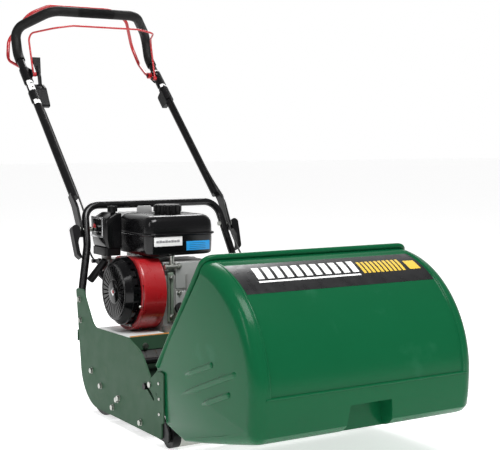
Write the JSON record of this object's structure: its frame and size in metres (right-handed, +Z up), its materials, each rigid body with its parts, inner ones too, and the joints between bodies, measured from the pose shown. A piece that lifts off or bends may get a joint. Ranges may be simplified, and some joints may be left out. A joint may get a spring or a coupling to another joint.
{
  "type": "reel mower",
  "caption": "Petrol reel lawn mower with plate chassis, rear drive drum, front roller, round-fronted grass catcher, top-mounted engine and a folding loop handle with bail levers.",
  "frame": {"origin": "on the ground, under the middle of the machine's overall length and width", "axes": "+Z up, -Y forward towards the grass catcher, +Y towards the operator, +X to the operator's left"},
  "size_m": [0.6, 1.6445, 1.1725],
  "materials": {
    "chassis_paint": "satin",
    "deck_paint": "satin",
    "zinc": "satin",
    "steel": "satin",
    "blade_steel": "ground",
    "cast_iron": "matte",
    "catcher_plastic": "gloss",
    "black_tube": "semi-gloss",
    "black_metal": "satin",
    "red_metal": "gloss",
    "bail_red": "gloss",
    "aluminium": "as cast",
    "black_plastic": "matte",
    "foam": "matte",
    "belt_rubber": "matte",
    "guard_steel": "satin",
    "cable_black": "satin",
    "ceramic": "satin"
  },
  "bodies": {
    "chassis": {"side_plate_right": "chassis_paint", "side_plate_left": "chassis_paint", "engine_deck": "deck_paint", "tie_rods": "zinc", "grass_deflector": "chassis_paint", "bed_bar": "chassis_paint", "bottom_blade": "blade_steel", "chassis_bolts": "zinc", "bearing_housings": "cast_iron", "chain_cover": "chassis_paint", "drive_belt": "belt_rubber", "reel_chain": "steel", "drum_chain": "steel", "lower_handle": "black_tube", "crankcase": "aluminium", "cylinder_head": "aluminium", "blower_housing": "red_metal", "recoil_cover": "black_metal", "fuel_tank": "black_metal", "carburettor": "aluminium", "air_cleaner_base": "black_plastic", "air_cleaner_cover": "black_plastic", "muffler": "steel", "muffler_guard": "guard_steel", "spark_plug": "ceramic", "control_cables_lower": "cable_black"},
    "crank": {"crankshaft": "steel", "flywheel": "aluminium", "engine_pulley": "cast_iron"},
    "layshaft": {"layshaft": "steel", "layshaft_pulley": "cast_iron", "layshaft_sprockets": "steel"},
    "drum": {"drum_halves": "steel", "drum_axle": "steel", "drum_sprocket": "steel"},
    "reel": {"reel_shaft": "steel", "reel_blades": "blade_steel", "reel_spiders": "steel", "reel_sprocket": "steel"},
    "height_frame": {"roller_arms": "chassis_paint"},
    "roller": {"front_roller": "zinc", "roller_end_caps": "black_plastic"},
    "recoil_pull": {"recoil_grip": "black_plastic"},
    "tank_cap": {"fuel_cap": "black_plastic"},
    "dipstick": {"oil_plug": "black_plastic"},
    "cleaner_knob": {"air_cleaner_knob": "black_plastic"},
    "choke": {"choke_lever": "black_plastic"},
    "clutch": {"clutch_arm": "zinc"},
    "handle": {"upper_handle": "black_tube", "foam_grips": "foam", "throttle_box": "black_plastic", "control_cables_upper": "cable_black", "bail_brackets": "black_metal"},
    "throttle": {"throttle_lever": "black_plastic"},
    "front_bail": {"front_bail": "bail_red"},
    "rear_bail": {"rear_bail": "bail_red"},
    "cam_right": {"cam_lever_right": "black_plastic"},
    "cam_left": {"cam_lever_left": "black_plastic"},
    "catcher": {"catcher_shell": "catcher_plastic", "catcher_brackets": "chassis_paint"}
  },
  "joints": [
    {"name": "drum_spin", "type": "hinge", "parent": "chassis", "child": "drum", "pos_m": [0, 0.0099, 0.097], "axis": [1, 0, 0], "continuous": true},
    {"name": "layshaft_spin", "type": "hinge", "parent": "chassis", "child": "layshaft", "pos_m": [0, -0.1031, 0.176], "axis": [1, 0, 0], "continuous": true},
    {"name": "reel_spin", "type": "hinge", "parent": "chassis", "child": "reel", "pos_m": [0, -0.1911, 0.092], "axis": [1, 0, 0], "continuous": true},
    {"name": "crank_spin", "type": "hinge", "parent": "chassis", "child": "crank", "pos_m": [0, 0.0589, 0.322], "axis": [1, 0, 0], "continuous": true},
    {"name": "height_adjust", "type": "hinge", "parent": "chassis", "child": "height_frame", "pos_m": [0, -0.2571, 0.038], "axis": [1, 0, 0], "range_deg": [-3, 18]},
    {"name": "roller_spin", "type": "hinge", "parent": "height_frame", "child": "roller", "pos_m": [0, -0.3771, 0.028], "axis": [1, 0, 0], "continuous": true},
    {"name": "recoil_pull", "type": "slide", "parent": "chassis", "child": "recoil_pull", "axis": [-0.2999, 0.7998, 0.5199], "range_m": [0, 0.45], "stiffness_N_per_m": 25, "springref_m": -0.3},
    {"name": "fuel_cap_twist", "type": "hinge", "parent": "chassis", "child": "tank_cap", "pos_m": [-0.04, 0.0569, 0.54], "axis": [0, 0, 1], "range_deg": [0, 90]},
    {"name": "oil_plug_twist", "type": "hinge", "parent": "chassis", "child": "dipstick", "pos_m": [-0.052, -0.0131, 0.262], "axis": [0, -0.8762, 0.4819], "range_deg": [0, 180]},
    {"name": "cleaner_knob_twist", "type": "hinge", "parent": "chassis", "child": "cleaner_knob", "pos_m": [-0.17, 0.1389, 0.54], "axis": [0, 0, 1], "range_deg": [0, 180]},
    {"name": "choke_turn", "type": "hinge", "parent": "chassis", "child": "choke", "pos_m": [-0.186, 0.1939, 0.394], "axis": [1, 0, 0], "range_deg": [0, 45]},
    {"name": "clutch_turn", "type": "hinge", "parent": "chassis", "child": "clutch", "pos_m": [0.239, -0.0271, 0.232], "axis": [1, 0, 0], "range_deg": [-20, 0]},
    {"name": "handle_fold", "type": "hinge", "parent": "chassis", "child": "handle", "pos_m": [0, 0.1989, 0.484], "axis": [1, 0, 0], "range_deg": [0, 100]},
    {"name": "throttle_turn", "type": "hinge", "parent": "handle", "child": "throttle", "pos_m": [-0.194, 0.6089, 0.897], "axis": [1, 0, 0], "range_deg": [0, 40]},
    {"name": "front_bail_squeeze", "type": "hinge", "parent": "handle", "child": "front_bail", "pos_m": [0, 0.6249, 0.938], "axis": [1, 0, 0], "range_deg": [-22, 0], "stiffness_Nm_per_rad": 1.5, "springref_deg": 20.05},
    {"name": "rear_bail_squeeze", "type": "hinge", "parent": "handle", "child": "rear_bail", "pos_m": [0, 0.6609, 0.948], "axis": [1, 0, 0], "range_deg": [0, 16], "stiffness_Nm_per_rad": 2.5, "springref_deg": -20.05},
    {"name": "cam_right_open", "type": "hinge", "parent": "chassis", "child": "cam_right", "pos_m": [-0.258, 0.1989, 0.484], "axis": [0, 0.9426, -0.3338], "range_deg": [0, 95]},
    {"name": "cam_left_open", "type": "hinge", "parent": "chassis", "child": "cam_left", "pos_m": [0.258, 0.1989, 0.484], "axis": [0, -0.9426, 0.3338], "range_deg": [0, 95]},
    {"name": "catcher_tilt", "type": "hinge", "parent": "chassis", "child": "catcher", "pos_m": [0, -0.3131, 0.144], "axis": [-1, 0, 0], "range_deg": [0, 30]}
  ],
  "couplings": [
    {"joint": "layshaft_spin", "follows": "drum_spin", "ratio": 3.3333},
    {"joint": "reel_spin", "follows": "drum_spin", "ratio": 3.8462},
    {"joint": "clutch_turn", "follows": "rear_bail_squeeze", "ratio": -1.25}
  ]
}
